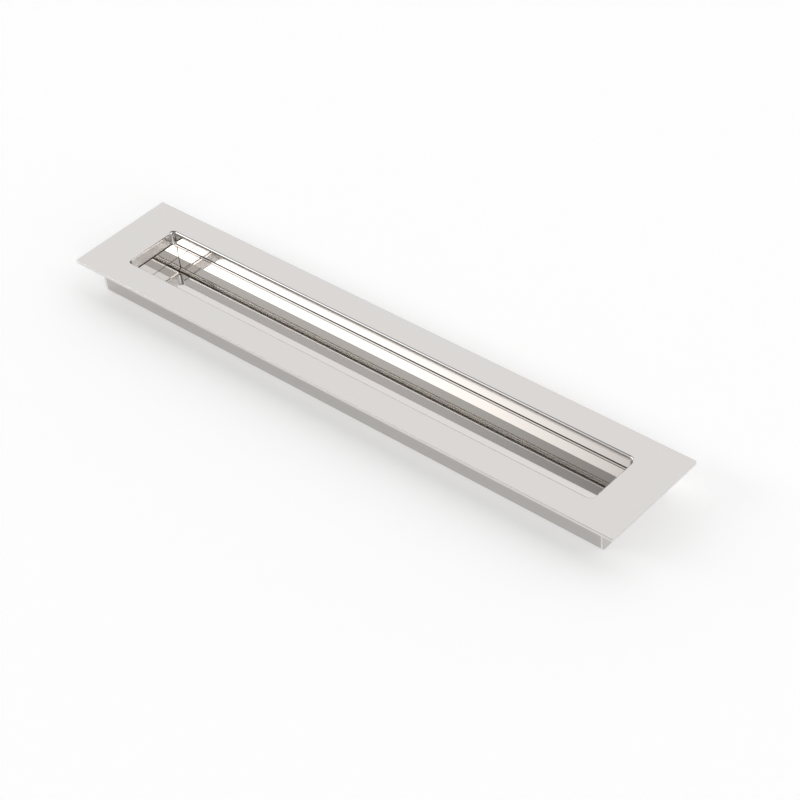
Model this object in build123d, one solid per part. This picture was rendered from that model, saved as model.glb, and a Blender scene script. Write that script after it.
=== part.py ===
from build123d import *
from math import radians, tan
import os

# Recessed pull handle, in millimetres.
#
# A face plate has a long window with a lip turned down round it. It lies over an
# extruded channel, which it locates in a shallow rebate, and two end plates close the
# channel. The channel has a thin flat floor, two outer walls, and two inner walls that
# line the finger pocket behind the lip. A bead runs along each inner wall below the lip.
# Each end plate has a block that fits between the inner walls and ends the pocket. The
# face plate's border, which stands out past the channel all round, is what lies on the
# door.
#
# Frame: the origin is the middle of the channel's underside. +X runs along the handle,
# +Y across it, and +Z points out of the door, towards the hand.

# ---- Driving sizes -------------------------------------------------------------

# Face plate
face_length = 220.0
face_width = 40.0
face_corner_radius = 0.6
face_edge_radius = 0.2
plate_thickness = 1.0
rebate_depth = 0.2

# Border of the face plate that lies on the door
end_border = 7.0
side_border = 4.8

# Lip round the window
lip_thickness = 0.7
lip_clearance = 0.1
lip_depth = 4.8
rim_radius = 1.0
root_radius = 0.2
window_corner_radius = 1.6

# Body under the face plate
overall_depth = 12.0
body_edge_radius = 0.3
floor_thickness = 0.6
outer_wall_thickness = 1.5
chamber_width = 1.7
inner_wall_thickness = 1.2
draft_angle = 1.5

# Bead along each inner wall, below the lip
bead_radius = 0.5
bead_drop = 1.35
bead_offset = 0.08

# End plates, each with a block whose face is flush with the lip above it
end_plate_thickness = 0.8
block_depth = 7.0
block_clearance = 0.1
lip_gap = 0.8

# ---- Derived sizes -------------------------------------------------------------

seat_height = overall_depth - plate_thickness
body_height = seat_height + rebate_depth
body_length = face_length - 2 * end_border
body_width = face_width - 2 * side_border
channel_length = body_length - 2 * end_plate_thickness
wall_slope = tan(radians(draft_angle))

chamber_outer = body_width / 2 - outer_wall_thickness
chamber_inner = chamber_outer - chamber_width
pocket_width = 2 * (chamber_inner - inner_wall_thickness)

lip_bottom = overall_depth - lip_depth
bead_height = lip_bottom - bead_drop
bead_middle = pocket_width / 2 - bead_offset
bead_nose = bead_middle - bead_radius

window_length = channel_length - 2 * block_depth
window_width = pocket_width - 2 * (lip_clearance + lip_thickness)
lip_length = window_length + 2 * lip_thickness
lip_width = window_width + 2 * lip_thickness
lip_corner_radius = window_corner_radius + lip_thickness
mouth_growth = 2 * lip_depth * wall_slope


def rounded_plate(length, width, corner_radius, bottom, top):
    """A flat rounded rectangle, centred on the origin, from one height to another."""
    outline = Plane.XY.offset(bottom) * RectangleRounded(length, width, corner_radius)
    return extrude(outline, top - bottom)


def loop_at(solid, length, width, height):
    """The edges at one height that run round a rectangle of one length and width."""
    found = []
    for edge in solid.edges():
        box = edge.bounding_box()
        level = max(abs(box.min.Z - height), abs(box.max.Z - height)) < 0.001
        reach_x = max(abs(box.min.X), abs(box.max.X))
        reach_y = max(abs(box.min.Y), abs(box.max.Y))
        on_end = abs(reach_x - length / 2) < 0.001 and reach_y < width / 2 + 0.001
        on_side = abs(reach_y - width / 2) < 0.001 and reach_x < length / 2 + 0.001
        if level and (on_end or on_side):
            found.append(edge)
    return found


def make_window():
    """The window's hollow: a rounded rectangle that widens by the draft towards its mouth."""
    outline = RectangleRounded(window_length, window_width, window_corner_radius)
    return extrude(Plane.XY.offset(lip_bottom) * outline, lip_depth, taper=-draft_angle)


def make_face_plate():
    """The face plate: border, rebate, window, rounded rim and the lip turned down."""
    plate = rounded_plate(face_length, face_width, face_corner_radius, seat_height, overall_depth)
    plate -= Pos(0, 0, seat_height) * Box(body_length, body_width, 2 * rebate_depth)
    plate += rounded_plate(lip_length, lip_width, lip_corner_radius, lip_bottom, body_height)
    plate -= make_window()
    mouth_length = window_length + mouth_growth
    mouth_width = window_width + mouth_growth
    plate = fillet(loop_at(plate, mouth_length, mouth_width, overall_depth), rim_radius)
    plate = fillet(loop_at(plate, lip_length, lip_width, body_height), root_radius)
    return fillet(loop_at(plate, face_length, face_width, overall_depth), face_edge_radius)


def body_outline():
    """The outline that the channel and both end plates share, its lower corners rounded."""
    outline = Pos(0, body_height / 2) * Rectangle(body_width, body_height)
    return fillet(outline.vertices().group_by(Axis.Y)[0], body_edge_radius)


def pocket_outline():
    """The finger pocket between the inner walls, which lean out by the draft."""
    floor_half = pocket_width / 2
    mouth_half = floor_half + (body_height - floor_thickness) * wall_slope
    floor_line = [(-floor_half, floor_thickness), (floor_half, floor_thickness)]
    mouth_line = [(mouth_half, body_height), (-mouth_half, body_height)]
    return make_face(Polyline(*floor_line, *mouth_line, close=True))


def chamber_outline(side):
    """The hollow between an inner wall and an outer wall, which the face plate covers."""
    height = body_height - floor_thickness
    middle = side * (chamber_inner + chamber_outer) / 2
    return Pos(middle, floor_thickness + height / 2) * Rectangle(chamber_width, height)


def bead_outline(side):
    """A bead with a round nose, from the face of its inner wall."""
    root = chamber_inner - bead_middle
    nose = Pos(side * bead_middle, bead_height) * Circle(bead_radius)
    return nose + Pos(side * (bead_middle + root / 2), bead_height) * Rectangle(root, 2 * bead_radius)


def make_channel():
    """The channel: a floor, two outer walls, and two inner walls with a bead on each."""
    section = body_outline() - pocket_outline()
    for side in (-1, 1):
        section -= chamber_outline(side)
        section += bead_outline(side)
    return extrude(Plane.YZ * section, channel_length / 2, both=True)


def block_layer(width, bottom, top):
    """One layer of the block on an end plate, from the end plate's inner face."""
    return Pos(block_depth / 2, 0, (bottom + top) / 2) * Box(block_depth, width, top - bottom)


def make_end_plate(side):
    """One end plate: it covers the channel's cut end, and its block fits round the beads."""
    foot_top = bead_height - bead_radius - block_clearance
    foot = block_layer(pocket_width - 2 * block_clearance, floor_thickness + block_clearance, foot_top)
    head = block_layer(2 * (bead_nose - block_clearance), foot_top, lip_bottom - lip_gap)
    plate = extrude(Plane.YZ * body_outline(), -end_plate_thickness) + foot + head
    placed = Pos(-channel_length / 2, 0, 0) * plate
    return placed if side < 0 else mirror(placed, Plane.YZ)


sub_parts = {
    "face_plate": make_face_plate(),
    "channel": make_channel(),
    "end_plate_left": make_end_plate(-1),
    "end_plate_right": make_end_plate(1),
}

os.makedirs("parts", exist_ok=True)
for node, solid in sub_parts.items():
    export_step(solid, f"parts/{node}.step")
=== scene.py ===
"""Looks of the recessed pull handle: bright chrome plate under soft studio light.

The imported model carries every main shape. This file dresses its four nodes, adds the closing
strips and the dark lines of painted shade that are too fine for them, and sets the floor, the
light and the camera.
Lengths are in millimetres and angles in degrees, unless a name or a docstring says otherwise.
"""

import logging
import math
from dataclasses import dataclass
from enum import Enum
from typing import Any

import bmesh
import bpy
from mathutils import Matrix, Vector

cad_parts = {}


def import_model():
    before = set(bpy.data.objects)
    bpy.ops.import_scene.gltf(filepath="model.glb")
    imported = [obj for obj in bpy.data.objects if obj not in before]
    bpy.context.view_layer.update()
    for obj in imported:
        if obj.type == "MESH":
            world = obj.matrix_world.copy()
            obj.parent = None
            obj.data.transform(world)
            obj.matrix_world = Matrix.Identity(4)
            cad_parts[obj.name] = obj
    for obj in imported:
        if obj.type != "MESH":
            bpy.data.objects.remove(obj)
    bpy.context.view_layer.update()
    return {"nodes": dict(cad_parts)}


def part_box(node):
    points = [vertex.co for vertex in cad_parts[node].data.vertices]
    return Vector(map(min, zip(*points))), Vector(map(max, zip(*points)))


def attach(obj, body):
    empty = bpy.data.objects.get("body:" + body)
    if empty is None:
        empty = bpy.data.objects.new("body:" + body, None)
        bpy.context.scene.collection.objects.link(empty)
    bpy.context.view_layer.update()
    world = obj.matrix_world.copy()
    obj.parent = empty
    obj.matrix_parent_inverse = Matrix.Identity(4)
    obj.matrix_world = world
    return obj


MM = 0.001
LOG = logging.getLogger("pull_handle")


class Satin(Enum):
    """The faces of a polished finish that stay satin, because the wheel did not reach them."""

    END_FACES = "end faces"
    OUTER_ENDS = "outer ends"
    OUTER_SIDES = "outer sides"


def linear(hex_colour: str) -> tuple[float, float, float, float]:
    """Turns an sRGB hex colour to a linear colour with full alpha.

    Args:
        hex_colour: six hex digits, with or without a leading #.

    Returns:
        Linear red, green, blue and an alpha of 1.
    """
    digits = hex_colour.lstrip("#")
    parts = [int(digits[i : i + 2], 16) / 255 for i in (0, 2, 4)]
    red, green, blue = (p / 12.92 if p <= 0.04045 else ((p + 0.055) / 1.055) ** 2.4 for p in parts)
    return red, green, blue, 1.0


def add_node(
    tree: bpy.types.NodeTree,
    kind: str,
    links: dict[str | int, Any] | None = None,
    **settings: Any,
) -> bpy.types.Node:
    """Adds one node, sets it up and links it.

    Args:
        tree: the node tree that gets the node.
        kind: the node's Blender type.
        links: input socket to the output socket or plain value that feeds it.
        settings: the node's own properties.

    Returns:
        The new node.
    """
    node = tree.nodes.new(kind)
    for name, value in settings.items():
        setattr(node, name, value)
    for socket, source in (links or {}).items():
        if isinstance(source, bpy.types.NodeSocket):
            tree.links.new(source, node.inputs[socket])
        else:
            node.inputs[socket].default_value = source
    return node


def new_material(name: str) -> tuple[bpy.types.Material, bpy.types.NodeTree, bpy.types.Node]:
    """Makes a material that holds only its shader.

    Args:
        name: the material's name.

    Returns:
        The material, its node tree and its shader node.
    """
    material = bpy.data.materials.new(name)
    material.use_nodes = True
    return material, material.node_tree, material.node_tree.nodes["Principled BSDF"]


@dataclass(frozen=True)
class ChromePlate:
    """Chrome plate on polished metal: a clear mirror that is nearly neutral.

    Polishing haze lifts its roughness in soft patches; the scratches that make the haze are
    too fine to show, so only the patches are drawn. The plate follows the metal below, so
    where that is rolled or drawn, a long and very low ripple bends what it mirrors.

    Faces that the wheel did not reach are satin, and may be a shade greyer; on the drawn section's outer
    sides that grey is painted shade.
    They lie below the satin limit on the end faces, and further out than it on the outer ones.
    Round that limit the satin fades in, and on the end faces it also does so with how squarely
    (0 to 1) they look along the length.
    """

    name: str
    colour: str
    roughness: float
    satin: Satin
    satin_roughness: float
    satin_limit: float
    greyer_colour: str | None = None
    haze: float = 0.02
    haze_mm: float = 9.0
    haze_detail: float = 3.0
    haze_grain: float = 0.6
    ripple: float = 0.02
    ripple_mm: float = 60.0
    ripple_detail: float = 1.0
    fade_over: float = 0.3
    fade_under: float = 0.4
    fade_aside: float = 0.2
    square_from: float = 0.6
    square_full: float = 0.95

    def build(self) -> bpy.types.Material:
        """Makes the material.

        Returns:
            The new material.
        """
        material, tree, shader = new_material(self.name)
        shader.inputs["Base Color"].default_value = linear(self.colour)
        shader.inputs["Metallic"].default_value = 1.0
        place = add_node(tree, "ShaderNodeTexCoord").outputs["Object"]
        patches = add_node(
            tree,
            "ShaderNodeTexNoise",
            {
                "Vector": place,
                "Scale": 1 / (self.haze_mm * MM),
                "Detail": self.haze_detail,
                "Roughness": self.haze_grain,
            },
        ).outputs["Fac"]
        rough = add_node(
            tree,
            "ShaderNodeMapRange",
            {"Value": patches, "To Min": self.roughness, "To Max": self.roughness + self.haze},
        ).outputs["Result"]
        tree.links.new(self.leave_satin(tree, shader, place, rough), shader.inputs["Roughness"])
        if self.ripple:
            wave = add_node(
                tree,
                "ShaderNodeTexNoise",
                {"Vector": place, "Scale": 1 / (self.ripple_mm * MM), "Detail": self.ripple_detail},
            ).outputs["Fac"]
            bump = add_node(tree, "ShaderNodeBump", {"Height": wave, "Distance": self.ripple * MM})
            tree.links.new(bump.outputs["Normal"], shader.inputs["Normal"])
        return material

    def leave_satin(
        self,
        tree: bpy.types.NodeTree,
        shader: bpy.types.Node,
        place: bpy.types.NodeSocket,
        rough: bpy.types.NodeSocket,
    ) -> bpy.types.NodeSocket:
        """Leaves the faces that the wheel did not reach satin, and greyer where a grey is set; on the drawn
        section's outer sides that grey is painted shade.

        Args:
            tree: the material's node tree.
            shader: the material's shader.
            place: the object coordinates.
            rough: the polished faces' roughness.

        Returns:
            The roughness of all the faces.
        """
        across_length = self.satin is Satin.END_FACES
        mask = self.end_faces(tree, place) if across_length else self.outside(tree, place)
        # On the drawn section's outer sides, this greyer colour is painted shade.
        if self.greyer_colour:
            tint = add_node(
                tree,
                "ShaderNodeMix",
                {"Factor": mask, "A": linear(self.colour), "B": linear(self.greyer_colour)},
                data_type="RGBA",
            ).outputs["Result"]
            tree.links.new(tint, shader.inputs["Base Color"])
        return add_node(
            tree,
            "ShaderNodeMix",
            {"Factor": mask, "A": rough, "B": self.satin_roughness},
            data_type="FLOAT",
        ).outputs["Result"]

    def end_faces(self, tree: bpy.types.NodeTree, place: bpy.types.NodeSocket) -> bpy.types.NodeSocket:
        """Masks the faces that look along the length and lie below the satin limit.

        Args:
            tree: the material's node tree.
            place: the object coordinates.

        Returns:
            1 on those faces and 0 elsewhere.
        """
        normal = add_node(tree, "ShaderNodeNewGeometry").outputs["Normal"]
        along = add_node(tree, "ShaderNodeSeparateXYZ", {"Vector": normal}).outputs["X"]
        squareness = add_node(tree, "ShaderNodeMath", {0: along}, operation="ABSOLUTE").outputs[0]
        ends = add_node(
            tree,
            "ShaderNodeMapRange",
            {"Value": squareness, "From Min": self.square_from, "From Max": self.square_full},
        ).outputs["Result"]
        height = add_node(tree, "ShaderNodeSeparateXYZ", {"Vector": place}).outputs["Z"]
        under = add_node(
            tree,
            "ShaderNodeMapRange",
            {
                "Value": height,
                "From Min": (self.satin_limit + self.fade_over) * MM,
                "From Max": (self.satin_limit - self.fade_under) * MM,
            },
        ).outputs["Result"]
        return add_node(tree, "ShaderNodeMath", {0: ends, 1: under}, operation="MULTIPLY").outputs[0]

    def outside(self, tree: bpy.types.NodeTree, place: bpy.types.NodeSocket) -> bpy.types.NodeSocket:
        """Masks what lies further out than the satin limit, along or across the handle.

        Args:
            tree: the material's node tree.
            place: the object coordinates.

        Returns:
            1 on those faces and 0 elsewhere.
        """
        axes = add_node(tree, "ShaderNodeSeparateXYZ", {"Vector": place}).outputs
        way = axes["X"] if self.satin is Satin.OUTER_ENDS else axes["Y"]
        away = add_node(tree, "ShaderNodeMath", {0: way}, operation="ABSOLUTE").outputs[0]
        return add_node(
            tree,
            "ShaderNodeMapRange",
            {
                "Value": away,
                "From Min": (self.satin_limit - self.fade_aside) * MM,
                "From Max": self.satin_limit * MM,
            },
        ).outputs["Result"]


@dataclass(frozen=True)
class PaintedShadeLine:
    """A thin, dull line beside the chrome that is painted shade, standing in for the shadow in a joint.

    Its colour drifts every few millimetres and its skin is finely pitted.
    """

    name: str
    colour: str
    drift_colour: str
    roughness: float = 0.6
    drift_mm: float = 3.0
    pit_mm: float = 0.4
    pit_depth: float = 0.01

    def build(self) -> bpy.types.Material:
        """Makes the material, or finds it if another joint has made it already.

        Returns:
            The material.
        """
        made = bpy.data.materials.get(self.name)
        if made:
            return made
        material, tree, shader = new_material(self.name)
        shader.inputs["Roughness"].default_value = self.roughness
        place = add_node(tree, "ShaderNodeTexCoord").outputs["Object"]
        drift, pits = (
            add_node(tree, "ShaderNodeTexNoise", {"Vector": place, "Scale": 1 / (size * MM)}).outputs["Fac"]
            for size in (self.drift_mm, self.pit_mm)
        )
        tint = add_node(
            tree,
            "ShaderNodeMix",
            {"Factor": drift, "A": linear(self.colour), "B": linear(self.drift_colour)},
            data_type="RGBA",
        ).outputs["Result"]
        tree.links.new(tint, shader.inputs["Base Color"])
        bump = add_node(tree, "ShaderNodeBump", {"Height": pits, "Distance": self.pit_depth * MM})
        tree.links.new(bump.outputs["Normal"], shader.inputs["Normal"])
        return material


@dataclass(frozen=True)
class LitAcrylic:
    """A sheet of white acrylic lit from below: even, matt and without a grain."""

    name: str
    colour: str
    roughness: float
    glow: float

    def build(self) -> bpy.types.Material:
        """Makes the material.

        Returns:
            The new material.
        """
        material, _, shader = new_material(self.name)
        shader.inputs["Base Color"].default_value = linear(self.colour)
        shader.inputs["Roughness"].default_value = self.roughness
        shader.inputs["Emission Strength"].default_value = self.glow
        return material


# How each face was finished is assumed from how it looks.
# On top of each joint, a dark grey-brown hairline is painted shade, standing in for the joint's shadow.
DARK_PAINTED_SHADE = PaintedShadeLine("painted_shade_dark", "#524A43", "#423A35")
# Under the strips a thicker and paler line is painted shade too, and is seen as the pocket's floor mirrors
# it.
PALE_PAINTED_SHADE = PaintedShadeLine("painted_shade_pale", "#ABA095", "#9B9087")
# The sheet's front is buffed flat on the wheel, so it is a clear and bright mirror. The wheel
# does not reach the lip's two short ends, which stay satin and read as nearly even grey.
SHEET_CHROME = ChromePlate(
    "chrome_on_steel_sheet",
    "#DFDCDA",
    roughness=0.05,
    satin=Satin.END_FACES,
    satin_roughness=0.4,
    satin_limit=11.0,
)
# The drawn section is bright inside, so the pocket shows long, unbroken bands of light. Its
# outer sides go into the door and are only plated, so they look softer; their greyer colour is
# painted shade.
SECTION_CHROME = ChromePlate(
    "chrome_on_drawn_section",
    "#E2DFDC",
    roughness=0.05,
    satin=Satin.OUTER_SIDES,
    satin_roughness=0.15,
    satin_limit=15.1,
    greyer_colour="#C6C3C0",
)
# The end blocks are lapped flat inside, without a ripple, so they pass the bands of light on
# with hardly a loss. Their outer faces are only plated, and a shade greyer.
BLOCK_CHROME = ChromePlate(
    "chrome_on_end_block",
    "#F2F0EE",
    roughness=0.03,
    satin=Satin.OUTER_ENDS,
    satin_roughness=0.14,
    satin_limit=102.8,
    greyer_colour="#CFCCCA",
    haze=0.01,
    ripple=0.0,
)
# The floor's own light all but drowns the handle's shadow on it.
FLOOR_ACRYLIC = LitAcrylic("white_acrylic", "#F4F4F4", roughness=0.8, glow=0.31)


@dataclass
class Part:
    """One sub-assembly: the nodes that it covers and the finish that they take."""

    nodes: tuple[str, ...]
    finish: ChromePlate

    def dress(self, packed: dict[str, bpy.types.Object]) -> bpy.types.Material:
        """Gives the nodes their material.

        Args:
            packed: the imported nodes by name.

        Returns:
            The material.
        """
        material = self.finish.build()
        for name in self.nodes:
            mesh = packed[name].data
            mesh.materials.clear()
            mesh.materials.append(material)
            LOG.info("%s is %s", name, self.finish.name)
        return material


@dataclass
class Bar:
    """A long bar with softened edges that lies in a joint and rides with the handle.

    Its edges are rounded by soft_edge, or by soft_share of its thinnest side if that is less.
    """

    name: str
    low: tuple[float, float, float]
    high: tuple[float, float, float]
    slot: str
    material: bpy.types.Material
    soft_edge: float = 0.05
    soft_share: float = 0.25
    soft_steps: int = 2
    round_profile: float = 0.5

    def build(self) -> None:
        """Makes the bar's mesh, softens its edges and sets it on the handle."""
        low, high = Vector(self.low), Vector(self.high)
        size = high - low
        mesh = bmesh.new()
        bmesh.ops.create_cube(mesh, size=1.0, matrix=Matrix.LocRotScale((low + high) / 2, None, size))
        bmesh.ops.bevel(
            mesh,
            geom=mesh.edges[:] + mesh.verts[:],
            offset=min(self.soft_edge, self.soft_share * min(size)),
            segments=self.soft_steps,
            profile=self.round_profile,
            affect="EDGES",
        )
        bmesh.ops.scale(mesh, vec=(MM, MM, MM), verts=mesh.verts)
        bmesh.ops.recalc_face_normals(mesh, faces=mesh.faces)
        data = bpy.data.meshes.new(self.name)
        mesh.to_mesh(data)
        mesh.free()
        data.materials.append(self.material)
        piece = bpy.data.objects.new(self.name, data)
        bpy.context.scene.collection.objects.link(piece)
        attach(piece, "root")
        LOG.info("%s is %s", self.name, self.material.name)


@dataclass
class FacePlate(Part):
    """The sheet with its border and the lip round the finger window."""

    nodes: tuple[str, ...] = ("face_plate",)
    finish: ChromePlate = SHEET_CHROME

    def lip_foot(self) -> float:
        """Returns how high the foot of the lip stands over the handle's underside."""
        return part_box(self.nodes[0])[0].z / MM


@dataclass
class JoinedPart(Part):
    """A sub-assembly with strips that close its joint to the lip, each under a dark line of painted shade.

    That line is set back from its strip's front, and ends just clear of the lip's foot.
    """

    slot: str
    shade_line_height: float
    shade_line: PaintedShadeLine = DARK_PAINTED_SHADE
    shade_line_inset: float = 0.02
    clearance: float = 0.01

    def tops(self, lip_foot: float) -> tuple[float, float]:
        """Finds how high the strips and their lines of painted shade reach.

        Args:
            lip_foot: how high the foot of the lip stands.

        Returns:
            The heights of the strips' tops and of the painted shade lines' tops.
        """
        shade_line_top = lip_foot - self.clearance
        return shade_line_top - self.shade_line_height, shade_line_top


@dataclass
class Channel(JoinedPart):
    """The drawn channel, with the strips that close the joint between bead and lip.

    Each strip stands on a bead and a little proud of the lip. Below its front, ahead of the
    bead, lies a pale line of painted shade with a dark hairline edge of painted shade. Places
    across the handle count from its middle, and heights from its underside.
    """

    nodes: tuple[str, ...] = ("channel",)
    finish: ChromePlate = SECTION_CHROME
    slot: str = "channel"
    shade_line_height: float = 0.13
    strip_front: float = 9.78
    strip_back: float = 10.45
    strip_bottom: float = 6.33
    pale_shade: PaintedShadeLine = PALE_PAINTED_SHADE
    pale_shade_back: float = 10.1
    pale_shade_bottom: float = 6.1
    edge_width: float = 0.04
    end_gap: float = 0.3

    def close_joints(self, material: bpy.types.Material, lip_foot: float, end_face: float) -> None:
        """Adds the closing strips and the lines of painted shade over and under them on both sides.

        Args:
            material: the channel's own finish.
            lip_foot: how high the foot of the lip stands.
            end_face: how far from the middle the end blocks' inner faces stand.
        """
        # The lines over and under each strip are painted shade, standing in for the shadows of the joint.
        shade_line, pale_shade = self.shade_line.build(), self.pale_shade.build()
        strip_top, shade_line_top = self.tops(lip_foot)
        half_length = end_face - self.end_gap
        front, back = self.strip_front, self.strip_back
        edge_back = front + self.edge_width
        for side, word in ((1, "far"), (-1, "near")):
            for name, inner, outer, bottom, top, finish in (
                ("joint_strip", front, back, self.strip_bottom, strip_top, material),
                ("painted_shade_line", front + self.shade_line_inset, back, strip_top, shade_line_top, shade_line),
                ("painted_shade_edge", front, edge_back, self.pale_shade_bottom, self.strip_bottom, shade_line),
                ("painted_shade_under_bead", edge_back, self.pale_shade_back, self.pale_shade_bottom, self.strip_bottom, pale_shade),
            ):
                y = sorted((side * inner, side * outer))
                low, high = (-half_length, y[0], bottom), (half_length, y[1], top)
                Bar(f"{name}_{word}", low, high, self.slot, finish).build()


@dataclass
class EndPlates(JoinedPart):
    """The two end blocks that close the channel, with the strips between them and the lip.

    Each strip stands on its block and a little proud of it.
    """

    nodes: tuple[str, ...] = ("end_plate_left", "end_plate_right")
    finish: ChromePlate = BLOCK_CHROME
    slot: str = "end_plates"
    shade_line_height: float = 0.17
    strip_proud: float = 0.3
    strip_cover: float = 0.4
    strip_bottom: float = 6.41
    half_width: float = 9.7

    def end_face(self) -> float:
        """Returns how far from the handle's middle the blocks' inner faces stand."""
        _, right = self.nodes
        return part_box(right)[0].x / MM

    def close_joints(self, material: bpy.types.Material, lip_foot: float) -> None:
        """Adds the closing strip and the line of painted shade on top of it at both ends.

        Args:
            material: the blocks' own finish.
            lip_foot: how high the foot of the lip stands.
        """
        # The line on top of each strip is painted shade, standing in for the joint's shadow.
        shade_line = self.shade_line.build()
        strip_top, shade_line_top = self.tops(lip_foot)
        strip_front = self.end_face() - self.strip_proud
        strip_back = self.end_face() + self.strip_cover
        for side, word in ((1, "right"), (-1, "left")):
            for name, front, bottom, top, finish in (
                ("end_strip", strip_front, self.strip_bottom, strip_top, material),
                ("end_painted_shade_line", strip_front + self.shade_line_inset, strip_top, shade_line_top, shade_line),
            ):
                x = sorted((side * front, side * strip_back))
                low, high = (x[0], -self.half_width, bottom), (x[1], self.half_width, top)
                Bar(f"{name}_{word}", low, high, self.slot, finish).build()


@dataclass
class Camera:
    """The camera, placed round the point that it looks at, with its lengths in metres."""

    aim: tuple[float, float, float] = (0.0235, -0.0101, 0.0120)
    distance: float = 0.6524
    azimuth: float = 44.97
    elevation: float = 40.52
    roll: float = -5.86
    view_angle: float = 20.76
    clip_start: float = 0.01

    def build(self) -> None:
        """Makes the camera and makes it the scene's own."""
        data = bpy.data.cameras.new("camera")
        data.sensor_fit = "HORIZONTAL"
        data.angle = math.radians(self.view_angle)
        data.clip_start = self.clip_start
        camera = bpy.data.objects.new("camera", data)
        bpy.context.scene.collection.objects.link(camera)
        turn = (
            Matrix.Rotation(math.radians(self.azimuth), 4, "Z")
            @ Matrix.Rotation(math.radians(90 - self.elevation), 4, "X")
            @ Matrix.Rotation(math.radians(self.roll), 4, "Z")
        )
        back = Matrix.Translation((0, 0, self.distance))
        camera.matrix_world = Matrix.Translation(Vector(self.aim)) @ turn @ back
        bpy.context.scene.camera = camera


@dataclass(frozen=True)
class SoftEdge:
    """An angle at which the studio's light changes smoothly, and half the change's width."""

    at: float
    soft: float

    def cross(
        self,
        tree: bpy.types.NodeTree,
        angle: bpy.types.NodeSocket,
        before: bpy.types.NodeSocket | float,
        after: bpy.types.NodeSocket | float,
    ) -> bpy.types.NodeSocket:
        """Changes from one level of light to another at this edge.

        Args:
            tree: the world's node tree.
            angle: the angle that is looked at, in radians.
            before: the level below the edge's angle.
            after: the level above it.

        Returns:
            The level at every angle.
        """
        past = add_node(
            tree,
            "ShaderNodeMapRange",
            {
                "Value": angle,
                "From Min": math.radians(self.at - self.soft),
                "From Max": math.radians(self.at + self.soft),
            },
            interpolation_type="SMOOTHSTEP",
        ).outputs["Result"]
        return add_node(
            tree,
            "ShaderNodeMix",
            {"Factor": past, "A": before, "B": after},
            data_type="FLOAT",
        ).outputs["Result"]


@dataclass
class Studio:
    """A lit white floor under a soft studio sky, with a softbox on the near side of each end.

    A tilt is taken round the handle's length, from the near horizon (0) over the top (90) to
    the far one (180). A turn is taken from square on to the length (0) to along it (90), and
    counts the same towards both ends. By tilt, the light is first low, then the softboxes,
    then the dim near sky with its shaded top, and last the open sky. By turn, the dim sky and
    the softboxes brighten towards the ends.
    """

    floor_reach: float = 3000.0
    floor_finish: LitAcrylic = FLOOR_ACRYLIC
    low: float = 0.4
    dim_middle: float = 0.24
    dim_ends: float = 0.73
    box_light: float = 2.2
    box_ends: float = 3.6
    shade: float = 0.6
    sky: float = 0.95
    dim_turn: SoftEdge = SoftEdge(28.0, 6.0)
    box_turn: SoftEdge = SoftEdge(28.0, 9.4)
    box_end_turn: SoftEdge = SoftEdge(38.5, 3.0)
    box_bottom: SoftEdge = SoftEdge(30.0, 1.5)
    box_top: SoftEdge = SoftEdge(49.5, 1.5)
    shade_bottom: SoftEdge = SoftEdge(55.0, 2.0)
    sky_bottom: SoftEdge = SoftEdge(92.0, 6.0)

    def lay_floor(self) -> None:
        """Lays the floor that the handle stands on."""
        data = bpy.data.meshes.new("floor")
        reach = self.floor_reach * MM
        corners = [(-reach, -reach, 0), (reach, -reach, 0), (reach, reach, 0), (-reach, reach, 0)]
        data.from_pydata(corners, [], [(0, 1, 2, 3)])
        floor = bpy.data.objects.new("floor", data)
        bpy.context.scene.collection.objects.link(floor)
        data.materials.append(self.floor_finish.build())
        LOG.info("floor is %s", self.floor_finish.name)

    def light(self) -> None:
        """Lights the studio by the direction that the light comes from."""
        world = bpy.data.worlds.new("studio")
        bpy.context.scene.world = world
        world.use_nodes = True
        tree = world.node_tree
        way = add_node(tree, "ShaderNodeTexCoord").outputs["Generated"]
        axes = add_node(tree, "ShaderNodeSeparateXYZ", {"Vector": way}).outputs
        near = add_node(tree, "ShaderNodeMath", {0: axes["Y"], 1: -1.0}, operation="MULTIPLY").outputs[0]
        tilt = add_node(tree, "ShaderNodeMath", {0: axes["Z"], 1: near}, operation="ARCTAN2").outputs[0]
        aside = add_node(tree, "ShaderNodeMath", {0: axes["X"]}, operation="ABSOLUTE").outputs[0]
        turn = add_node(tree, "ShaderNodeMath", {0: aside}, operation="ARCSINE").outputs[0]
        dim = self.dim_turn.cross(tree, turn, self.dim_middle, self.dim_ends)
        box = self.box_turn.cross(tree, turn, dim, self.box_light)
        box = self.box_end_turn.cross(tree, turn, box, self.box_ends)
        top = add_node(tree, "ShaderNodeMath", {0: dim, 1: self.shade}, operation="MULTIPLY").outputs[0]
        level = self.box_bottom.cross(tree, tilt, self.low, box)
        level = self.box_top.cross(tree, tilt, level, dim)
        level = self.shade_bottom.cross(tree, tilt, level, top)
        level = self.sky_bottom.cross(tree, tilt, level, self.sky)
        tree.links.new(level, tree.nodes["Background"].inputs["Strength"])
        tree.nodes["Background"].inputs["Color"].default_value = linear("#FFFFFF")


def main() -> None:
    """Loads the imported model, dresses it and builds the studio round it."""
    logging.basicConfig(level=logging.INFO, format="%(name)s: %(message)s")
    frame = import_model()
    bpy.context.scene.view_settings.view_transform = "Standard"
    packed = frame["nodes"]
    sheet, ends, channel = FacePlate(), EndPlates(), Channel()
    sheet.dress(packed)
    ends.close_joints(ends.dress(packed), sheet.lip_foot())
    channel.close_joints(channel.dress(packed), sheet.lip_foot(), ends.end_face())
    studio = Studio()
    studio.lay_floor()
    studio.light()
    Camera().build()


if __name__ == "__main__":
    main()
